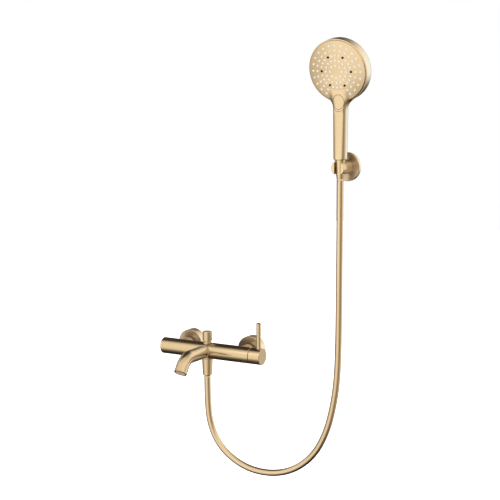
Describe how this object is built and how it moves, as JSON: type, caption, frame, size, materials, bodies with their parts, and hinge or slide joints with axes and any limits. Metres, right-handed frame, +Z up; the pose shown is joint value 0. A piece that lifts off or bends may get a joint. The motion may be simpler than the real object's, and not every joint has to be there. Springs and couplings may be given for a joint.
{
  "type": "shower mixer set",
  "caption": "Exposed wall shower mixer with side lever, curved spout and pull diverter, with a smooth hose and a round hand shower in a wall holder.",
  "frame": {"origin": "on the wall face, midway between the two supply threads", "axes": "+X to the right seen from the room, +Y into the wall, +Z up"},
  "size_m": [0.4711, 0.2192, 0.929],
  "materials": {
    "satin_gold": "satin champagne gold plating",
    "gold_plastic": "satin champagne gold coating on moulded plastic",
    "gold_hose": "smooth metallic gold hose skin",
    "brass_inner": "machined",
    "black_rubber": "matt",
    "white_silicone": "soft",
    "white_ceramic": "lapped",
    "grey_plastic": "moulded",
    "screw_steel": "plain",
    "dark_jet": "moulded",
    "dark_aerator": "moulded"
  },
  "bodies": {
    "fixed_set": {"mixer_body": "satin_gold", "end_plug": "brass_inner", "end_plug_oring": "black_rubber", "union_hot": "brass_inner", "union_cold": "brass_inner", "union_nuts": "brass_inner", "filter_washers": "screw_steel", "flange_hot": "satin_gold", "flange_cold": "satin_gold", "flange_seals": "black_rubber", "cartridge_seal": "black_rubber", "cartridge_base": "grey_plastic", "cartridge_body": "grey_plastic", "ceramic_disc_fixed": "white_ceramic", "cartridge_nut": "brass_inner", "diverter_seat": "brass_inner", "diverter_gland": "satin_gold", "diverter_oring": "black_rubber", "outlet_check_valve": "grey_plastic", "hose_washer_lower": "black_rubber", "hose_ferrule_lower": "brass_inner", "hose_nut_lower": "satin_gold", "spout_tube": "satin_gold", "spout_oring": "black_rubber", "spout_grub_screw": "screw_steel", "aerator_housing": "satin_gold", "aerator_insert": "dark_aerator", "aerator_washer": "black_rubber", "holder_plate": "screw_steel", "holder_screws": "screw_steel", "holder_rosette": "satin_gold", "holder_arm": "satin_gold", "holder_grub_screw": "screw_steel", "shower_hose": "gold_hose"},
    "lever": {"ceramic_disc_moving": "white_ceramic", "cartridge_stem": "satin_gold", "lever_hub": "satin_gold", "lever_pin": "satin_gold", "hub_grub_screw": "screw_steel"},
    "diverter": {"diverter_spindle": "brass_inner", "diverter_valve": "black_rubber", "diverter_knob": "satin_gold"},
    "hose_end": {"cone_nut": "satin_gold", "hose_ferrule_upper": "brass_inner", "hose_washer_upper": "black_rubber"},
    "handset": {"handset_shell": "gold_plastic", "face_cover": "gold_plastic", "nozzle_mat": "white_silicone", "jet_nozzles": "dark_jet", "face_seal": "black_rubber", "water_dish": "grey_plastic", "valve_housing": "grey_plastic", "handset_connector": "brass_inner", "waterway_tube": "grey_plastic", "button_spring": "screw_steel"},
    "mode_button": {"select_button": "gold_plastic", "selector_spool": "grey_plastic"}
  },
  "joints": [
    {"name": "lever_turn", "type": "hinge", "parent": "fixed_set", "child": "lever", "pos_m": [0.12, -0.0704, 0.008], "axis": [1, 0, 0], "range_deg": [0, 95]},
    {"name": "diverter_pull", "type": "slide", "parent": "fixed_set", "child": "diverter", "axis": [0, 0, 1], "range_m": [0, 0.0085]},
    {"name": "handset_lift", "type": "slide", "parent": "fixed_set", "child": "hose_end", "axis": [0, 0, 1], "range_m": [0, 0.06]},
    {"name": "handset_swivel", "type": "hinge", "parent": "hose_end", "child": "handset", "pos_m": [0.2968, -0.0355, 0.43], "axis": [0, 0, 1], "range_deg": [-40, 40]},
    {"name": "button_press", "type": "slide", "parent": "handset", "child": "mode_button", "axis": [0, 1, 0], "range_m": [0, 0.0024], "stiffness_N_per_m": 900, "springref_m": -0.002, "deforming": ["button_spring"]}
  ]
}
